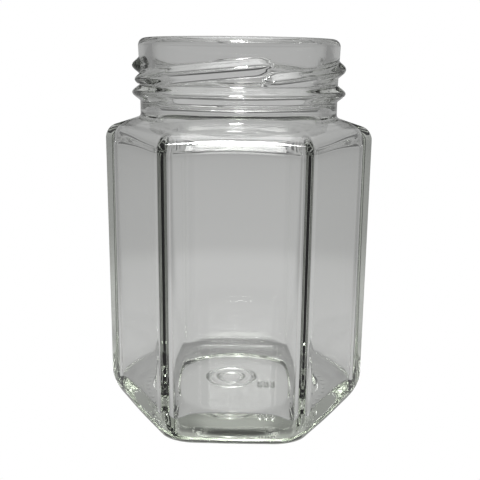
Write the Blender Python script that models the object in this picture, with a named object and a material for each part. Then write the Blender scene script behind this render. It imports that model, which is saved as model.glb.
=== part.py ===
"""A hexagonal preserve jar, open and empty: one piece of clear pressed and blown glass.

The jar stands on its base, with the origin at the middle of the base and +Z up.
Flat side walls face -Y and +Y, and upright corners point along -X and +X.
Every level of the glass is a ring of points round the upright axis. The rings run from the
middle of the underside up the outer skin, over the rim, and down the inner skin to the floor.
"""

import math

import bmesh
import bpy

MM = 0.001

# Body, outer skin
FLAT_APOTHEM = 23.05 * MM
CORNER_RADIUS = 1.2 * MM
TOTAL_HEIGHT = 75.9 * MM
HEEL_INSET = 5.6 * MM
HEEL_HEIGHT = 6.9 * MM
HEEL_CORNER_RISE = 0.8 * MM
HEEL_CORNER_GAIN = 1.7
SHOULDER_EDGE_HEIGHT = 58.75 * MM
SHOULDER_ROUND = 2.95 * MM

# Underside: a recessed round panel inside the flat ring that the jar stands on
RING_INNER_RADIUS = 15.9 * MM
PANEL_STEP_WIDTH = 1.0 * MM
PANEL_RECESS = 1.3 * MM
MARK_RADIUS = 4.85 * MM
MARK_WIDTH = 1.0 * MM
MARK_RELIEF = 0.3 * MM

# Neck and twist-off finish
NECK_RADIUS = 19.2 * MM
NECK_FOOT_HEIGHT = 61.1 * MM
NECK_FOOT_ROUND = 1.0 * MM
BEAD_RADIUS = 20.73 * MM
BEAD_HEIGHT = 65.75 * MM
BEAD_HALF_WIDTH = 1.5 * MM
FINISH_RADIUS = 19.45 * MM
RIM_OUTER_ROUND = 1.4 * MM
RIM_INNER_ROUND = 0.9 * MM

# Lugs: interrupted threads that a twist-off lid catches on
LUG_COUNT = 4
LUG_RADIUS = 20.8 * MM
LUG_HALF_WIDTH = 1.35 * MM
LUG_ROOT = 0.5 * MM
LUG_LOW_HEIGHT = 68.1 * MM
LUG_HIGH_HEIGHT = 71.0 * MM
LUG_START_ANGLE = math.radians(-75)
LUG_SPAN = math.radians(91)
LUG_NOSE_LENGTH = math.radians(7)

# Hollow
BORE_TOP_RADIUS = 16.9 * MM
BORE_FOOT_RADIUS = 16.3 * MM
BORE_FOOT_HEIGHT = 59.9 * MM
BORE_FOOT_ROUND = 2.5 * MM
CAVITY_APOTHEM = 19.85 * MM
CAVITY_CORNER_RADIUS = 2.0 * MM
CAVITY_SHOULDER_HEIGHT = 57.3 * MM
CAVITY_SHOULDER_ROUND = 3.0 * MM
FLOOR_HEIGHT = 8.05 * MM
FLOOR_FALL = 0.54 * MM
FLOOR_FALL_POWER = 10
FLOOR_ROUND = 0.8 * MM

# How finely curves are divided
CORNER_ZONE = math.radians(9)
CORNER_STEPS = 6
FLAT_STEPS = 6
HEEL_STEPS = 7
FLOOR_STEPS = 4
ROUND_STEPS = 4
BEAD_STEPS = 6
LUG_STEPS = 20
LUG_PROFILE_STEPS = 6

SIDES = 6
SECTOR = 2 * math.pi / SIDES
HALF_SECTOR = SECTOR / 2


def column_angles():
    """Angles of the upright columns of points, closer together round the corners of the body."""
    angles = []
    flat_zone = SECTOR - 2 * CORNER_ZONE
    for side in range(SIDES):
        corner = side * SECTOR
        angles += [corner - CORNER_ZONE + 2 * CORNER_ZONE * i / CORNER_STEPS for i in range(CORNER_STEPS)]
        angles += [corner + CORNER_ZONE + flat_zone * i / FLAT_STEPS for i in range(FLAT_STEPS)]
    return angles


def hexagon_radius(angle, apothem, corner_radius):
    """Distance from the axis to a round-cornered hexagon, whose corners lie at multiples of 60 degrees."""
    off_corner = abs((angle + HALF_SECTOR) % SECTOR - HALF_SECTOR)
    arc_centre = (apothem - corner_radius) / math.cos(HALF_SECTOR)
    tangent = math.atan2(
        corner_radius * math.sin(HALF_SECTOR),
        arc_centre + corner_radius * math.cos(HALF_SECTOR),
    )
    if off_corner >= tangent:
        return apothem / math.cos(HALF_SECTOR - off_corner)
    across = arc_centre * math.sin(off_corner)
    return arc_centre * math.cos(off_corner) + math.sqrt(corner_radius**2 - across**2)


def hexagon_row(angles, apothem, corner_radius, height):
    return [(hexagon_radius(angle, apothem, corner_radius), height) for angle in angles]


def circle_row(angles, radius, height):
    return [(radius, height) for _ in angles]


def quarter_turn(steps):
    """Angles from 0 to 90 degrees, both included."""
    return [math.pi / 2 * i / steps for i in range(steps + 1)]


def underside_rows(angles):
    """The raised ring mark in the middle of the panel, and the step down from the panel to the standing ring."""
    mark_inner = MARK_RADIUS - MARK_WIDTH / 2
    mark_outer = MARK_RADIUS + MARK_WIDTH / 2
    slope = MARK_RELIEF
    rows = [
        circle_row(angles, mark_inner - slope, PANEL_RECESS),
        circle_row(angles, mark_inner, PANEL_RECESS - MARK_RELIEF),
        circle_row(angles, mark_outer, PANEL_RECESS - MARK_RELIEF),
        circle_row(angles, mark_outer + slope, PANEL_RECESS),
    ]
    rows.append(circle_row(angles, RING_INNER_RADIUS - PANEL_STEP_WIDTH, PANEL_RECESS))
    rows.append(circle_row(angles, RING_INNER_RADIUS, 0))
    return rows


def corner_share(angle):
    """1 at the corners of the hexagon, 0 at the middle of its sides."""
    return math.cos(angle * SIDES / 2) ** 2


def heel_rows(angles):
    """The heel curves up from the round standing ring into the flat side walls, a little higher at the corners."""
    rows = []
    for turn in quarter_turn(HEEL_STEPS):
        inset = HEEL_INSET * (1 - math.sin(turn))
        rise = 1 - math.cos(turn)
        corner_radius = CORNER_RADIUS + HEEL_CORNER_GAIN * inset
        row = []
        for angle in angles:
            top = HEEL_HEIGHT + HEEL_CORNER_RISE * corner_share(angle)
            row.append((hexagon_radius(angle, FLAT_APOTHEM - inset, corner_radius), top * rise))
        rows.append(row)
    return rows


def rounded_bend(start, corner, end, radius, steps):
    """Points in (radius, height) round the bend at corner, on the way from start to end."""
    into = (corner[0] - start[0], corner[1] - start[1])
    away = (end[0] - corner[0], end[1] - corner[1])
    into_length = math.hypot(*into)
    away_length = math.hypot(*away)
    into = (into[0] / into_length, into[1] / into_length)
    away = (away[0] / away_length, away[1] / away_length)
    cross = into[0] * away[1] - into[1] * away[0]
    bend = math.atan2(cross, into[0] * away[0] + into[1] * away[1])
    tangent = radius * math.tan(abs(bend) / 2)
    side = math.copysign(1, bend)
    centre = (
        corner[0] - tangent * into[0] - side * radius * into[1],
        corner[1] - tangent * into[1] + side * radius * into[0],
    )
    points = []
    for i in range(steps + 1):
        turned = bend * i / steps
        spoke = (side * into[1] * radius, -side * into[0] * radius)
        points.append(
            (
                centre[0] + spoke[0] * math.cos(turned) - spoke[1] * math.sin(turned),
                centre[1] + spoke[0] * math.sin(turned) + spoke[1] * math.cos(turned),
            )
        )
    return points


def shoulder_rows(angles):
    """The shoulder rises from the hexagonal body to the round neck, column by column."""
    columns = []
    for angle in angles:
        body = hexagon_radius(angle, FLAT_APOTHEM, CORNER_RADIUS)
        wall = (body, HEEL_HEIGHT)
        edge = (body, SHOULDER_EDGE_HEIGHT)
        foot = (NECK_RADIUS, NECK_FOOT_HEIGHT)
        neck = (NECK_RADIUS, BEAD_HEIGHT)
        columns.append(
            rounded_bend(wall, edge, foot, SHOULDER_ROUND, ROUND_STEPS)
            + rounded_bend(edge, foot, neck, NECK_FOOT_ROUND, ROUND_STEPS)
        )
    return [list(row) for row in zip(*columns)]


def finish_rows(angles):
    """The bead round the neck, the plain finish that carries the lugs, and the rounded rim."""
    rows = []
    for i in range(BEAD_STEPS + 1):
        turn = math.pi * i / BEAD_STEPS - math.pi / 2
        radius = NECK_RADIUS + (BEAD_RADIUS - NECK_RADIUS) * math.cos(turn)
        rows.append(circle_row(angles, radius, BEAD_HEIGHT + BEAD_HALF_WIDTH * math.sin(turn)))
    for turn in quarter_turn(ROUND_STEPS):
        radius = FINISH_RADIUS - RIM_OUTER_ROUND * (1 - math.cos(turn))
        height = TOTAL_HEIGHT - RIM_OUTER_ROUND * (1 - math.sin(turn))
        rows.append(circle_row(angles, radius, height))
    for turn in quarter_turn(ROUND_STEPS):
        radius = BORE_TOP_RADIUS + RIM_INNER_ROUND * (1 - math.sin(turn))
        height = TOTAL_HEIGHT - RIM_INNER_ROUND * (1 - math.cos(turn))
        rows.append(circle_row(angles, radius, height))
    return rows


def floor_level(radius):
    """Height of the floor inside: nearly flat in the middle, and lower towards the corners."""
    return FLOOR_HEIGHT - FLOOR_FALL * (radius / CAVITY_APOTHEM) ** FLOOR_FALL_POWER


def cavity_rows(angles):
    """The inner skin: a tapering bore that opens under the shoulder into flat walls."""
    columns = []
    for angle in angles:
        cavity = hexagon_radius(angle, CAVITY_APOTHEM, CAVITY_CORNER_RADIUS)
        rim = (BORE_TOP_RADIUS, TOTAL_HEIGHT - RIM_INNER_ROUND)
        foot = (BORE_FOOT_RADIUS, BORE_FOOT_HEIGHT)
        edge = (cavity, CAVITY_SHOULDER_HEIGHT)
        wall = (cavity, FLOOR_HEIGHT)
        columns.append(
            rounded_bend(rim, foot, edge, BORE_FOOT_ROUND, ROUND_STEPS)
            + rounded_bend(foot, edge, wall, CAVITY_SHOULDER_ROUND, ROUND_STEPS)
        )
    return [list(row) for row in zip(*columns)]


def floor_rows(angles):
    """The floor is turned up into the walls on a small round."""
    walls = [hexagon_radius(angle, CAVITY_APOTHEM, CAVITY_CORNER_RADIUS) for angle in angles]
    rows = []
    for turn in quarter_turn(ROUND_STEPS):
        radii = [wall - FLOOR_ROUND * (1 - math.cos(turn)) for wall in walls]
        rise = FLOOR_ROUND * (1 - math.sin(turn))
        rows.append([(radius, floor_level(radius) + rise) for radius in radii])
    for i in range(1, FLOOR_STEPS):
        share = 1 - i / FLOOR_STEPS
        rows.append([(share * (wall - FLOOR_ROUND), floor_level(share * (wall - FLOOR_ROUND))) for wall in walls])
    return rows


def skin_between(mesh, lower, upper):
    count = len(lower)
    for i in range(count):
        j = (i + 1) % count
        mesh.faces.new((lower[i], lower[j], upper[j], upper[i]))


def build_shell(name):
    """One closed skin through all the rows, with a fan at the middle of the underside and of the floor."""
    angles = column_angles()
    rows = underside_rows(angles) + heel_rows(angles) + shoulder_rows(angles) + finish_rows(angles)
    rows += cavity_rows(angles) + floor_rows(angles)
    mesh = bmesh.new()
    rings = []
    for row in rows:
        ring = [
            mesh.verts.new((radius * math.cos(angle), radius * math.sin(angle), height))
            for angle, (radius, height) in zip(angles, row)
        ]
        rings.append(ring)
    for lower, upper in zip(rings, rings[1:]):
        skin_between(mesh, lower, upper)
    underside = mesh.verts.new((0, 0, PANEL_RECESS))
    floor = mesh.verts.new((0, 0, FLOOR_HEIGHT))
    count = len(angles)
    for i in range(count):
        j = (i + 1) % count
        mesh.faces.new((underside, rings[0][j], rings[0][i]))
        mesh.faces.new((floor, rings[-1][i], rings[-1][j]))
    bmesh.ops.recalc_face_normals(mesh, faces=mesh.faces)
    return object_from(mesh, name)


def object_from(mesh, name):
    data = bpy.data.meshes.new(name)
    mesh.to_mesh(data)
    mesh.free()
    return bpy.data.objects.new(name, data)


def lug_nose(along):
    """How full the lug is at this angle from its start: its two ends are rounded off."""
    from_end = min(along, LUG_SPAN - along)
    if from_end >= LUG_NOSE_LENGTH:
        return 1.0
    short = 1 - from_end / LUG_NOSE_LENGTH
    return max(math.sqrt(1 - short**2), 0.15)


def build_lug(number):
    """A rounded ridge swept round the finish as it climbs, rooted a little way into the wall."""
    start = LUG_START_ANGLE + number * 2 * math.pi / LUG_COUNT
    mesh = bmesh.new()
    sections = []
    for i in range(LUG_STEPS + 1):
        along = LUG_SPAN * (1 - math.cos(math.pi * i / LUG_STEPS)) / 2
        angle = start + along
        middle = LUG_LOW_HEIGHT + (LUG_HIGH_HEIGHT - LUG_LOW_HEIGHT) * along / LUG_SPAN
        fullness = lug_nose(along)
        half_width = LUG_HALF_WIDTH * fullness
        profile = [(FINISH_RADIUS - LUG_ROOT, -half_width)]
        for k in range(LUG_PROFILE_STEPS + 1):
            turn = math.pi * k / LUG_PROFILE_STEPS - math.pi / 2
            proud = (LUG_RADIUS - FINISH_RADIUS) * fullness * math.cos(turn)
            profile.append((FINISH_RADIUS + proud, half_width * math.sin(turn)))
        profile.append((FINISH_RADIUS - LUG_ROOT, half_width))
        sections.append(
            [
                mesh.verts.new((radius * math.cos(angle), radius * math.sin(angle), middle + rise))
                for radius, rise in profile
            ]
        )
    for near, far in zip(sections, sections[1:]):
        skin_between(mesh, near, far)
    mesh.faces.new(sections[0])
    mesh.faces.new(sections[-1])
    bmesh.ops.recalc_face_normals(mesh, faces=mesh.faces)
    return object_from(mesh, f"lug_{number + 1}")


def join_lugs(shell, lugs):
    """Fuses the lugs to the shell with one union, and removes them."""
    collection = bpy.data.collections.new("lugs")
    for lug in lugs:
        collection.objects.link(lug)
    bpy.context.scene.collection.children.link(collection)
    union = shell.modifiers.new("lugs", "BOOLEAN")
    union.operation = "UNION"
    union.solver = "EXACT"
    union.operand_type = "COLLECTION"
    union.collection = collection
    bpy.context.view_layer.update()
    graph = bpy.context.evaluated_depsgraph_get()
    joined = bpy.data.meshes.new_from_object(shell.evaluated_get(graph))
    shell.modifiers.clear()
    shell.data = joined
    for lug in lugs:
        bpy.data.objects.remove(lug)
    bpy.data.collections.remove(collection)


def clear_glass():
    material = bpy.data.materials.new("clear_glass")
    material.use_nodes = True
    surface = material.node_tree.nodes["Principled BSDF"]
    surface.inputs["Base Color"].default_value = (0.93, 0.95, 0.93, 1)
    surface.inputs["Roughness"].default_value = 0.02
    surface.inputs["Metallic"].default_value = 0
    surface.inputs["Transmission Weight"].default_value = 1
    surface.inputs["IOR"].default_value = 1.5
    return material


def main():
    for old in list(bpy.data.objects):
        bpy.data.objects.remove(old)
    jar = build_shell("jar")
    bpy.context.scene.collection.objects.link(jar)
    join_lugs(jar, [build_lug(number) for number in range(LUG_COUNT)])
    jar.data.materials.clear()
    jar.data.materials.append(clear_glass())
    jar.data.shade_smooth()
    jar.data.set_sharp_from_angle(angle=math.radians(40))


main()
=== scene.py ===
"""Looks of the hexagonal preserve jar: one closed body of clear moulded glass on a pale floor.

The jar stands on z = 0 with its mouth up. Flat side walls face -Y and +Y, corners point along -X and +X.
Every level of the glass is a ring of points round the upright axis. The rings run from the middle of
the underside up the outer skin, over the rim, and down the inner skin to the middle of the floor.
"""

import math

import bpy
import numpy as np
from mathutils import Matrix


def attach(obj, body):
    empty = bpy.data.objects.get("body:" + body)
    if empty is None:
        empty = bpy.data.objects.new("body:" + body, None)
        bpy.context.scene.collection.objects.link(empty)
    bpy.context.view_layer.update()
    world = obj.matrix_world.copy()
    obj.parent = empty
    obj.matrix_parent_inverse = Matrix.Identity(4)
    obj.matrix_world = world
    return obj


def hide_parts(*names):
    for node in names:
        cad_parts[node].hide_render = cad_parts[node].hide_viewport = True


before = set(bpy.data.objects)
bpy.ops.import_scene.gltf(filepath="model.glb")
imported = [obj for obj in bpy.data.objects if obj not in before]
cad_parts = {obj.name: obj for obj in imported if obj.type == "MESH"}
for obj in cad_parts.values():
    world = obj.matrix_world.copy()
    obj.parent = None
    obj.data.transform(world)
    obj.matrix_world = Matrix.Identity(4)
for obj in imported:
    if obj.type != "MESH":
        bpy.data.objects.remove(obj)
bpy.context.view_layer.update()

MM = 0.001

# Body, outer skin
FLAT_APOTHEM = 23.05 * MM
CORNER_RADIUS = 1.2 * MM
TOTAL_HEIGHT = 75.9 * MM
HEEL_INSET = 5.6 * MM
HEEL_HEIGHT = 6.9 * MM
HEEL_CORNER_RISE = 0.8 * MM
HEEL_CORNER_GAIN = 1.7
SHOULDER_EDGE_HEIGHT = 58.75 * MM
SHOULDER_ROUND = 2.95 * MM

# Underside: a recessed round panel inside the stippled ring that the jar stands on
RING_LEVEL = 0.15 * MM
RING_INNER_RADIUS = 15.9 * MM
PANEL_STEP_WIDTH = 2.5 * MM
PANEL_RECESS = 1.3 * MM
STIPPLE_COUNT = 54
STIPPLE_CIRCLE_RADIUS = 16.5 * MM
STIPPLE_RADIUS = 0.45 * MM
STIPPLE_RELIEF = 0.15 * MM

# Plain moulded marks on the panel: two rings and a few short bars
MARK_PLACE = (-1.1 * MM, 2.6 * MM)
MARK_RADII = (4.85 * MM, 2.5 * MM)
MARK_WIDTH = 1.0 * MM
MARK_RELIEF = 0.65 * MM
BAR_PLACE = (6.4 * MM, -1.2 * MM)
BAR_COUNT = 3
BAR_SPACING = 1.3 * MM
BAR_LENGTH = 2.6 * MM
BAR_WIDTH = 0.85 * MM

# Neck and twist-off finish
NECK_RADIUS = 19.2 * MM
NECK_FOOT_HEIGHT = 61.1 * MM
NECK_FOOT_ROUND = 1.0 * MM
BEAD_RADIUS = 20.73 * MM
BEAD_HEIGHT = 65.75 * MM
BEAD_HALF_WIDTH = 1.6 * MM
BEAD_SIDE_POWER = 1.4
FINISH_RADIUS = 19.45 * MM
RIM_OUTER_ROUND = 1.4 * MM
RIM_INNER_ROUND = 0.9 * MM

# Lugs: interrupted threads that a twist-off lid catches on
LUG_COUNT = 4
LUG_RADIUS = 20.8 * MM
LUG_HALF_WIDTH = 1.6 * MM
LUG_LOW_HEIGHT = 68.1 * MM
LUG_HIGH_HEIGHT = 71.0 * MM
LUG_START_ANGLE = math.radians(-75)
LUG_SPAN = math.radians(91)
LUG_NOSE_LENGTH = math.radians(6)
LUG_SIDE_POWER = 1.5
LUG_NOSE_POWER = 0.5
LUG_LEAST_FULLNESS = 0.05

# Hollow
BORE_TOP_RADIUS = 16.9 * MM
BORE_FOOT_RADIUS = 16.3 * MM
BORE_FOOT_HEIGHT = 59.9 * MM
BORE_FOOT_ROUND = 2.5 * MM
CAVITY_APOTHEM = 19.85 * MM
CAVITY_CORNER_RADIUS = 4.0 * MM
CAVITY_SHOULDER_HEIGHT = 57.3 * MM
CAVITY_SHOULDER_ROUND = 3.0 * MM
FLOOR_HEIGHT = 7.55 * MM
FLOOR_FALL = 0.05 * MM
FLOOR_FALL_POWER = 30
FLOOR_ROUND = 0.5 * MM

# How finely curves are divided
CORNER_ZONE = math.radians(9)
CORNER_STEPS = 20
FLAT_STEPS = 24
WALL_STEPS = 12
HEEL_STEPS = 18
BEAD_STEPS = 14
ROUND_STEPS = 10
FINISH_STEPS = 52
PANEL_STEPS = 70
STEP_STEPS = 8
RING_STEPS = 12
RING_FINENESS = 5
FLOOR_STEPS = 14

SIDES = 6
SECTOR = 2 * math.pi / SIDES
HALF_SECTOR = SECTOR / 2

# Glass
GLASS_COLOUR = (0.84, 0.87, 0.81, 1)
GLASS_DENSITY = 36.0
GLASS_ROUGHNESS = 0.0
GLASS_IOR = 1.52

# How far light is followed through the glass, and how bright a sparkle may get
LIGHT_BOUNCES = 10
SPARKLE_LIMIT = 12.0

# Light that reaches the glass from the floor, by distance from the jar's axis in metres. The floor glows
# with this painted light. The dip near 0.019 is a painted shadow round the foot of the jar, and the fall
# far away is painted shade.
FLOOR_LIGHT = (
    (0.011, 0.50),
    (0.019, 0.27),
    (0.045, 0.54),
    (0.115, 0.55),
    (0.150, 0.46),
    (0.700, 0.38),
)

# Light that reaches the glass from the room, by elevation in degrees
ROOM_LIGHT = (
    (5, 0.54),
    (27, 0.60),
    (55, 0.60),
    (75, 5.0),
)

# Shaded side walls, in degrees from the front and in degrees of elevation. On the floor the shade
# sets in from this distance to twice as far, in metres
FLANK_AZIMUTHS = (105, 140)
FLANK_ELEVATIONS = (-20, 30)
FLANK_SOFTNESS = 18
FLANK_LIGHT = 0.7
FLANK_FLOOR_START = 0.06

# Dark opening behind the jar, in degrees from straight behind and in degrees of elevation
STRAIGHT_BEHIND = 180
DARK_HALF_WIDTH = 22
DARK_ELEVATIONS = (9, 19)
DARK_SOFTNESS = 4
DARK_LIGHT = 0.15

# Bright windows in front of the jar: azimuth from, to, elevation from, to (degrees), and light
WINDOWS = (
    (-5, 3, 24.4, 25.6, 7),
    (-9, -6, 41, 51, 90),
    (-5.5, 0.2, 41, 51, 90),
    (1.6, 5, 41, 51, 90),
)
WINDOW_SOFTNESS = 2.5
WINDOW_UPRIGHT_SOFTNESS = 7.5

# Floor
FLOOR_HALF_SIZE = 3.0
FLOOR_DROP = 0.02 * MM

# White that the camera sees
WHITE = (1, 1, 1, 1)

# Photograph's viewpoint
CAMERA_PLACE = (0.00304, -0.15107, 0.07211)
CAMERA_YAW = math.radians(-0.959)
CAMERA_PITCH = math.radians(-13.446)
CAMERA_ROLL = math.radians(0.607)
CAMERA_LENS = 56.78
CAMERA_SENSOR = 36.0
CAMERA_NEAREST = 0.01


def column_angles():
    """Angles of the upright columns of points, closer together round the corners of the body."""
    flat_zone = SECTOR - 2 * CORNER_ZONE
    corner_part = -CORNER_ZONE + 2 * CORNER_ZONE * np.arange(CORNER_STEPS) / CORNER_STEPS
    flat_part = CORNER_ZONE + flat_zone * np.arange(FLAT_STEPS) / FLAT_STEPS
    sector = np.concatenate([corner_part, flat_part])
    return np.concatenate([sector + side * SECTOR for side in range(SIDES)])


def hexagon_radius(angles, apothem, corner_radius):
    """Distance from the axis to a round-cornered hexagon, whose corners lie at multiples of 60 degrees."""
    off_corner = np.abs((angles + HALF_SECTOR) % SECTOR - HALF_SECTOR)
    arc_centre = (apothem - corner_radius) / math.cos(HALF_SECTOR)
    tangent = math.atan2(
        corner_radius * math.sin(HALF_SECTOR),
        arc_centre + corner_radius * math.cos(HALF_SECTOR),
    )
    flat = apothem / np.cos(HALF_SECTOR - off_corner)
    across = arc_centre * np.sin(off_corner)
    arc = arc_centre * np.cos(off_corner) + np.sqrt(np.maximum(corner_radius**2 - across**2, 0))
    return np.where(off_corner >= tangent, flat, arc)


def steps_between(low, high, count):
    """Evenly spaced values from low to high, both ends left out."""
    return low + (high - low) * np.arange(1, count) / count


def quarter_turn(steps):
    """Angles from 0 to 90 degrees, both ends included."""
    return np.linspace(0, math.pi / 2, steps + 1)


def level(angles, radius, height):
    """One ring of points as (radius, height) rows."""
    return np.stack([np.broadcast_to(radius, angles.shape), np.broadcast_to(height, angles.shape)])


def rounded_bend(start, corner, end, radius, steps):
    """Rings round the bend at corner, on the way from start to end. Each is (radius, height) by column."""
    into = corner - start
    away = end - corner
    into = into / np.hypot(*into)
    away = away / np.hypot(*away)
    cross = into[0] * away[1] - into[1] * away[0]
    bend = np.arctan2(cross, into[0] * away[0] + into[1] * away[1])
    tangent = radius * np.tan(np.abs(bend) / 2)
    side = np.sign(bend)
    spoke = np.stack([side * into[1] * radius, -side * into[0] * radius])
    centre = corner - tangent * into - spoke
    rings = []
    for i in range(steps + 1):
        turned = bend * i / steps
        rings.append(
            centre
            + np.stack(
                [
                    spoke[0] * np.cos(turned) - spoke[1] * np.sin(turned),
                    spoke[0] * np.sin(turned) + spoke[1] * np.cos(turned),
                ]
            )
        )
    return rings


def straight(first, last, steps):
    """Rings on the straight way from one ring to another, closer near its ends, both ends left out."""
    shares = (1 - np.cos(steps_between(0, math.pi, steps))) / 2
    return [first + (last - first) * share for share in shares]


def ridge(distance, half_width):
    """A rounded ridge: 1 on its middle line, falling smoothly to 0 at half_width to either side."""
    return np.cos(np.clip(np.abs(distance) / half_width, 0, 1) * math.pi / 2) ** 2


def mark_relief(angles, radius):
    """How far the plain rings and bars stand out of the panel."""
    x = radius * np.cos(angles)
    y = radius * np.sin(angles)
    from_centre = np.hypot(x - MARK_PLACE[0], y - MARK_PLACE[1])
    relief = np.zeros_like(from_centre)
    for mark_radius in MARK_RADII:
        relief = np.maximum(relief, ridge(from_centre - mark_radius, MARK_WIDTH / 2))
    for number in range(BAR_COUNT):
        across = x - BAR_PLACE[0] - (number - (BAR_COUNT - 1) / 2) * BAR_SPACING
        past_end = np.maximum(np.abs(y - BAR_PLACE[1]) - BAR_LENGTH / 2, 0)
        relief = np.maximum(relief, ridge(np.hypot(across, past_end), BAR_WIDTH / 2))
    return MARK_RELIEF * relief


def stipple_relief(angles, radius):
    """How far the dots on the standing ring stand out of it."""
    pitch = 2 * math.pi / STIPPLE_COUNT
    along = ((angles + pitch / 2) % pitch - pitch / 2) * radius
    return STIPPLE_RELIEF * ridge(np.hypot(along, radius - STIPPLE_CIRCLE_RADIUS), STIPPLE_RADIUS)


def finer(angles):
    """The same round of columns, each gap between two divided into RING_FINENESS parts."""
    following = np.append(angles[1:], angles[0] + 2 * math.pi)
    share = np.arange(RING_FINENESS) / RING_FINENESS
    return (angles[:, None] + (following - angles)[:, None] * share).ravel()


def corner_share(angles):
    """1 at the corners of the hexagon, 0 at the middle of its sides."""
    return np.cos(angles * SIDES / 2) ** 2


def heel_section(angles, turn):
    """One ring of the heel, from the underside at turn 0 to the foot of the walls at a quarter turn."""
    inset = HEEL_INSET * (1 - math.sin(turn))
    top = HEEL_HEIGHT + HEEL_CORNER_RISE * corner_share(angles)
    height = RING_LEVEL + (top - RING_LEVEL) * (1 - math.cos(turn))
    corner_radius = CORNER_RADIUS + inset * HEEL_CORNER_GAIN
    return level(angles, hexagon_radius(angles, FLAT_APOTHEM - inset, corner_radius), height)


def underside_rings(angles):
    """The marked panel, the step down round it, and the finely divided standing ring with its dots."""
    panel_radius = RING_INNER_RADIUS - PANEL_STEP_WIDTH
    rings = []
    for radius in np.linspace(0, panel_radius, PANEL_STEPS + 1)[1:]:
        rings.append(level(angles, radius, PANEL_RECESS - mark_relief(angles, radius)))
    for share in np.arange(1, STEP_STEPS + 1) / STEP_STEPS:
        drop = (PANEL_RECESS - RING_LEVEL) * (1 - math.cos(math.pi * share)) / 2
        rings.append(level(angles, panel_radius + PANEL_STEP_WIDTH * share, PANEL_RECESS - drop))
    fine = finer(angles)
    low = STIPPLE_CIRCLE_RADIUS - STIPPLE_RADIUS
    high = STIPPLE_CIRCLE_RADIUS + STIPPLE_RADIUS
    for radius in np.linspace(low, high, RING_STEPS + 1):
        rings.append(level(fine, radius, RING_LEVEL - stipple_relief(fine, radius)))
    return rings


def heel_rings(angles):
    """The heel curves up from the round standing ring into the flat side walls on a quarter ellipse."""
    return [heel_section(angles, turn) for turn in quarter_turn(HEEL_STEPS)]


def shoulder_rings(angles, below):
    """The walls, and the shoulder that rises from the hexagonal body to the round neck."""
    body = hexagon_radius(angles, FLAT_APOTHEM, CORNER_RADIUS)
    edge = level(angles, body, SHOULDER_EDGE_HEIGHT)
    foot = level(angles, NECK_RADIUS, NECK_FOOT_HEIGHT)
    neck = level(angles, NECK_RADIUS, BEAD_HEIGHT)
    shoulder = rounded_bend(below, edge, foot, SHOULDER_ROUND, ROUND_STEPS)
    neck_foot = rounded_bend(edge, foot, neck, NECK_FOOT_ROUND, ROUND_STEPS)
    return (
        straight(below, shoulder[0], WALL_STEPS)
        + shoulder
        + straight(shoulder[-1], neck_foot[0], ROUND_STEPS)
        + neck_foot
    )


def lug_swell(angles, height):
    """How far the lugs stand out at this height, column by column."""
    swell = np.zeros_like(angles)
    for number in range(LUG_COUNT):
        start = LUG_START_ANGLE + number * 2 * math.pi / LUG_COUNT
        along = (angles - start) % (2 * math.pi)
        middle = LUG_LOW_HEIGHT + (LUG_HIGH_HEIGHT - LUG_LOW_HEIGHT) * along / LUG_SPAN
        from_end = np.minimum(along, LUG_SPAN - along)
        nose = np.clip(from_end / LUG_NOSE_LENGTH, 0, 1)
        fullness = np.sqrt(1 - (1 - nose) ** 2)
        half_width = LUG_HALF_WIDTH * np.maximum(fullness, LUG_LEAST_FULLNESS)
        across = np.clip(np.abs(height - middle) / half_width, 0, 1)
        side = np.cos(across * math.pi / 2) ** LUG_SIDE_POWER
        swell = np.maximum(swell, np.where(from_end > 0, fullness**LUG_NOSE_POWER * side, 0))
    return (LUG_RADIUS - FINISH_RADIUS) * swell


def finish_rings(angles):
    """The neck, the bead round it, the finish that carries the lugs, and the rounded rim."""
    rings = []
    for share in np.linspace(-1, 1, BEAD_STEPS + 1):
        swell = (BEAD_RADIUS - NECK_RADIUS) * math.cos(share * math.pi / 2) ** BEAD_SIDE_POWER
        rings.append(level(angles, NECK_RADIUS + swell, BEAD_HEIGHT + BEAD_HALF_WIDTH * share))
    top = TOTAL_HEIGHT - RIM_OUTER_ROUND
    low = BEAD_HEIGHT + BEAD_HALF_WIDTH
    for height in steps_between(low, top, FINISH_STEPS):
        radius = NECK_RADIUS + (FINISH_RADIUS - NECK_RADIUS) * (height - low) / (top - low)
        rings.append(level(angles, radius + lug_swell(angles, height), height))
    for turn in quarter_turn(ROUND_STEPS):
        radius = FINISH_RADIUS - RIM_OUTER_ROUND * (1 - math.cos(turn))
        rings.append(level(angles, radius, TOTAL_HEIGHT - RIM_OUTER_ROUND * (1 - math.sin(turn))))
    for turn in quarter_turn(ROUND_STEPS):
        radius = BORE_TOP_RADIUS + RIM_INNER_ROUND * (1 - math.sin(turn))
        rings.append(level(angles, radius, TOTAL_HEIGHT - RIM_INNER_ROUND * (1 - math.cos(turn))))
    return rings


def floor_level(radius):
    """Height of the floor inside: nearly flat in the middle, and lower towards the corners."""
    return FLOOR_HEIGHT - FLOOR_FALL * (radius / CAVITY_APOTHEM) ** FLOOR_FALL_POWER


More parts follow.
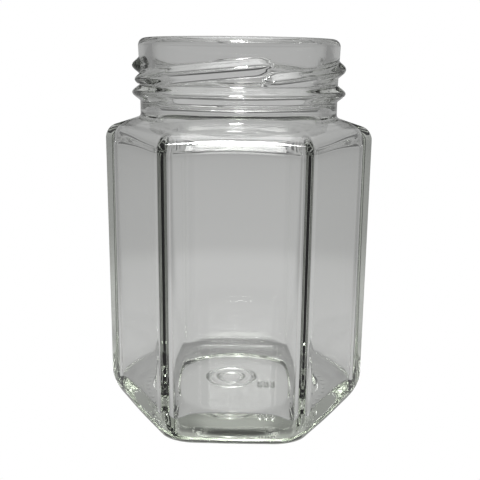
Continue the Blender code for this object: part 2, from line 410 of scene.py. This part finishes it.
def cavity_rings(angles, rim):
    """The inner skin: a tapering bore that opens under the shoulder into flat walls, then the floor."""
    wall_radius = hexagon_radius(angles, CAVITY_APOTHEM, CAVITY_CORNER_RADIUS)
    foot = level(angles, BORE_FOOT_RADIUS, BORE_FOOT_HEIGHT)
    edge = level(angles, wall_radius, CAVITY_SHOULDER_HEIGHT)
    low = level(angles, wall_radius, floor_level(wall_radius) + FLOOR_ROUND)
    bore_foot = rounded_bend(rim, foot, edge, BORE_FOOT_ROUND, ROUND_STEPS)
    shoulder = rounded_bend(foot, edge, low, CAVITY_SHOULDER_ROUND, ROUND_STEPS)
    rings = straight(rim, bore_foot[0], ROUND_STEPS) + bore_foot
    rings += straight(bore_foot[-1], shoulder[0], ROUND_STEPS) + shoulder
    rings += straight(shoulder[-1], low, WALL_STEPS)
    for turn in quarter_turn(ROUND_STEPS):
        radius = wall_radius - FLOOR_ROUND * (1 - math.cos(turn))
        rings.append(level(angles, radius, floor_level(radius) + FLOOR_ROUND * (1 - math.sin(turn))))
    for share in steps_between(1, 0, FLOOR_STEPS):
        radius = (wall_radius - FLOOR_ROUND) * share
        rings.append(level(angles, radius, floor_level(radius)))
    return rings


def band_faces(first_low, low_count, first_high, high_count):
    """Faces between two rings. Beside a finer ring, each face takes in several of its points."""
    columns = min(low_count, high_count)
    low_step = low_count // columns
    high_step = high_count // columns
    faces = []
    for column in range(columns):
        below = [first_low + (column * low_step + i) % low_count for i in range(low_step + 1)]
        above = [first_high + (column * high_step + i) % high_count for i in range(high_step, -1, -1)]
        faces.append(below + above)
    return faces


def jar_mesh():
    """One closed skin through all the rings, with a fan at the middle of the underside and of the floor."""
    angles = column_angles()
    fine = finer(angles)
    rings = underside_rings(angles)
    rings += heel_rings(angles)
    rings += shoulder_rings(angles, rings[-1])
    rings += finish_rings(angles)
    rings += cavity_rings(angles, rings[-1])
    points = []
    faces = []
    start = 0
    for number, (radius, height) in enumerate(rings):
        turn = angles if len(radius) == len(angles) else fine
        points.append(np.stack([radius * np.cos(turn), radius * np.sin(turn), height], axis=-1))
        if number > 0:
            before = len(rings[number - 1][0])
            faces += band_faces(start - before, before, start, len(radius))
        start += len(radius)
    underside = start
    floor = start + 1
    columns = len(angles)
    last = start - columns
    points.append([[0, 0, PANEL_RECESS], [0, 0, FLOOR_HEIGHT]])
    for near in range(columns):
        far = (near + 1) % columns
        faces.append([underside, far, near])
        faces.append([floor, last + near, last + far])
    data = bpy.data.meshes.new("glass_jar")
    data.from_pydata(np.concatenate(points).tolist(), [], faces)
    data.shade_smooth()
    return data


def clear_glass():
    """Colourless and smooth, with a faint green-grey tint that grows with the way through the glass."""
    material = bpy.data.materials.new("clear_glass")
    material.use_nodes = True
    nodes = material.node_tree.nodes
    links = material.node_tree.links
    surface = nodes["Principled BSDF"]
    surface.inputs["Base Color"].default_value = WHITE
    surface.inputs["Roughness"].default_value = GLASS_ROUGHNESS
    surface.inputs["Transmission Weight"].default_value = 1.0
    surface.inputs["IOR"].default_value = GLASS_IOR
    body = nodes.new("ShaderNodeVolumeAbsorption")
    body.inputs["Color"].default_value = GLASS_COLOUR
    body.inputs["Density"].default_value = GLASS_DENSITY
    links.new(body.outputs["Volume"], nodes["Material Output"].inputs["Volume"])
    return material


def add_jar():
    """The glass, in place of the plain solid."""
    jar = bpy.data.objects.new("glass_jar", jar_mesh())
    bpy.context.scene.collection.objects.link(jar)
    jar.data.materials.append(clear_glass())
    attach(jar, "root")
    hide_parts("jar")


def math_node(tree, operation, first, second=None, third=None):
    """One step of arithmetic. Each value is a number or the output of another node."""
    node = tree.nodes.new("ShaderNodeMath")
    node.operation = operation
    for socket, value in zip(node.inputs, (first, second, third)):
        if value is None:
            continue
        if isinstance(value, (int, float)):
            socket.default_value = value
        else:
            tree.links.new(value, socket)
    return node.outputs[0]


def smooth_window(tree, value, low, high, edge):
    """1 between low and high, falling to 0 over edge outside them."""
    rise = tree.nodes.new("ShaderNodeMapRange")
    rise.interpolation_type = "SMOOTHSTEP"
    rise.inputs["From Min"].default_value = low - edge
    rise.inputs["From Max"].default_value = low
    tree.links.new(value, rise.inputs["Value"])
    fall = tree.nodes.new("ShaderNodeMapRange")
    fall.interpolation_type = "SMOOTHSTEP"
    fall.inputs["From Min"].default_value = high
    fall.inputs["From Max"].default_value = high + edge
    fall.inputs["To Min"].default_value = 1
    fall.inputs["To Max"].default_value = 0
    tree.links.new(value, fall.inputs["Value"])
    return math_node(tree, "MULTIPLY", rise.outputs[0], fall.outputs[0])


def ramp(tree, value, stops):
    """A value that runs smoothly through the given (place, level) stops."""
    total = stops[0][1]
    for (near, low), (far, high) in zip(stops, stops[1:]):
        part = tree.nodes.new("ShaderNodeMapRange")
        part.interpolation_type = "SMOOTHSTEP"
        part.inputs["From Min"].default_value = near
        part.inputs["From Max"].default_value = far
        part.inputs["To Min"].default_value = 0
        part.inputs["To Max"].default_value = high - low
        tree.links.new(value, part.inputs["Value"])
        total = math_node(tree, "ADD", part.outputs[0], total)
    return total


def angle_from_front(tree, parts):
    """Degrees round from -Y, counted up towards +X, and the same without its sign."""
    front = math_node(tree, "MULTIPLY", parts.outputs["Y"], -1)
    turn = math_node(tree, "ARCTAN2", parts.outputs["X"], front)
    azimuth = math_node(tree, "MULTIPLY", turn, 180 / math.pi)
    return azimuth, math_node(tree, "ABSOLUTE", azimuth)


def dimmed(tree, glow, share, light):
    """The glow, and where share is 1 the glow times light."""
    shade = math_node(tree, "MULTIPLY_ADD", share, light - 1, 1)
    return math_node(tree, "MULTIPLY", glow, shade)


def light_two_ways(tree, shader, output, glow):
    """White where the camera looks straight at it, and the glow to all light that the glass bends."""
    through = tree.nodes.new(shader)
    tree.links.new(glow, through.inputs["Strength"])
    seen = tree.nodes.new(shader)
    seen.inputs["Color"].default_value = WHITE
    kind = tree.nodes.new("ShaderNodeLightPath")
    mix = tree.nodes.new("ShaderNodeMixShader")
    tree.links.new(kind.outputs["Is Camera Ray"], mix.inputs["Fac"])
    tree.links.new(through.outputs[0], mix.inputs[1])
    tree.links.new(seen.outputs[0], mix.inputs[2])
    last = tree.nodes.new(output)
    tree.links.new(mix.outputs["Shader"], last.inputs["Surface"])


def floor_material():
    """White to the camera. To the glass it glows a soft grey, a painted light: darkest under the edge of
    the jar, a painted shadow, lightest a little way off, and dimmer far away and out to the sides, painted
    shade."""
    material = bpy.data.materials.new("pale_floor")
    material.use_nodes = True
    tree = material.node_tree
    tree.nodes.clear()
    place = tree.nodes.new("ShaderNodeNewGeometry")
    length = tree.nodes.new("ShaderNodeVectorMath")
    length.operation = "LENGTH"
    tree.links.new(place.outputs["Position"], length.inputs[0])
    distance = length.outputs["Value"]
    # Painted glow by distance from the axis, with a painted shadow round the foot of the jar
    glow = ramp(tree, distance, FLOOR_LIGHT)
    parts = tree.nodes.new("ShaderNodeSeparateXYZ")
    tree.links.new(place.outputs["Position"], parts.inputs[0])
    # Painted shade on the floor out to the sides, setting in away from the jar
    flank = smooth_window(tree, angle_from_front(tree, parts)[1], *FLANK_AZIMUTHS, FLANK_SOFTNESS)
    far = ramp(tree, distance, ((FLANK_FLOOR_START, 0), (2 * FLANK_FLOOR_START, 1)))
    glow = dimmed(tree, glow, math_node(tree, "MULTIPLY", flank, far), FLANK_LIGHT)
    light_two_ways(tree, "ShaderNodeEmission", "ShaderNodeOutputMaterial", glow)
    return material


def add_floor():
    """A large flat floor, a hair under the jar so that the two don't touch."""
    half = FLOOR_HALF_SIZE
    data = bpy.data.meshes.new("floor")
    data.from_pydata(
        [(-half, -half, 0), (half, -half, 0), (half, half, 0), (-half, half, 0)], [], [(0, 1, 2, 3)]
    )
    data.materials.append(floor_material())
    floor = bpy.data.objects.new("floor", data)
    floor.location.z = -FLOOR_DROP
    bpy.context.scene.collection.objects.link(floor)


def add_room():
    """White to the camera. To the glass a dim room with a bright ceiling, shaded side walls, a dark
    opening behind the jar and bright windows in front of it."""
    world = bpy.data.worlds.new("room")
    bpy.context.scene.world = world
    world.use_nodes = True
    tree = world.node_tree
    tree.nodes.clear()
    place = tree.nodes.new("ShaderNodeTexCoord")
    parts = tree.nodes.new("ShaderNodeSeparateXYZ")
    tree.links.new(place.outputs["Generated"], parts.inputs[0])
    height = math_node(tree, "ARCSINE", parts.outputs["Z"])
    elevation = math_node(tree, "MULTIPLY", height, 180 / math.pi)
    azimuth, side = angle_from_front(tree, parts)
    glow = ramp(tree, elevation, ROOM_LIGHT)
    flank = smooth_window(tree, side, *FLANK_AZIMUTHS, FLANK_SOFTNESS)
    upright = smooth_window(tree, elevation, *FLANK_ELEVATIONS, FLANK_SOFTNESS)
    glow = dimmed(tree, glow, math_node(tree, "MULTIPLY", flank, upright), FLANK_LIGHT)
    behind = smooth_window(tree, side, STRAIGHT_BEHIND - DARK_HALF_WIDTH, STRAIGHT_BEHIND, DARK_SOFTNESS)
    upright = smooth_window(tree, elevation, *DARK_ELEVATIONS, DARK_SOFTNESS)
    glow = dimmed(tree, glow, math_node(tree, "MULTIPLY", behind, upright), DARK_LIGHT)
    for left, right, bottom, top, light in WINDOWS:
        across = smooth_window(tree, azimuth, left, right, WINDOW_SOFTNESS)
        upright = smooth_window(tree, elevation, bottom, top, WINDOW_UPRIGHT_SOFTNESS)
        pane = math_node(tree, "MULTIPLY", across, upright)
        glow = math_node(tree, "MULTIPLY_ADD", pane, light, glow)
    light_two_ways(tree, "ShaderNodeBackground", "ShaderNodeOutputWorld", glow)


def add_camera():
    """A near camera a little above the jar, as the photograph was taken."""
    data = bpy.data.cameras.new("camera")
    data.sensor_width = CAMERA_SENSOR
    data.lens = CAMERA_LENS
    data.clip_start = CAMERA_NEAREST
    camera = bpy.data.objects.new("camera", data)
    bpy.context.scene.collection.objects.link(camera)
    turn = Matrix.Rotation(-CAMERA_YAW, 4, "Z") @ Matrix.Rotation(math.pi / 2 + CAMERA_PITCH, 4, "X")
    camera.matrix_world = (
        Matrix.Translation(CAMERA_PLACE) @ turn @ Matrix.Rotation(CAMERA_ROLL, 4, "Z")
    )
    bpy.context.scene.camera = camera


def set_light_paths():
    """Follows light through enough skins of glass, and shows colours as plainly as a photograph does."""
    scene = bpy.context.scene
    scene.cycles.max_bounces = LIGHT_BOUNCES
    scene.cycles.transmission_bounces = LIGHT_BOUNCES
    scene.cycles.glossy_bounces = LIGHT_BOUNCES
    scene.cycles.sample_clamp_indirect = SPARKLE_LIMIT
    scene.view_settings.view_transform = "Standard"


add_jar()
add_floor()
add_room()
add_camera()
set_light_paths()
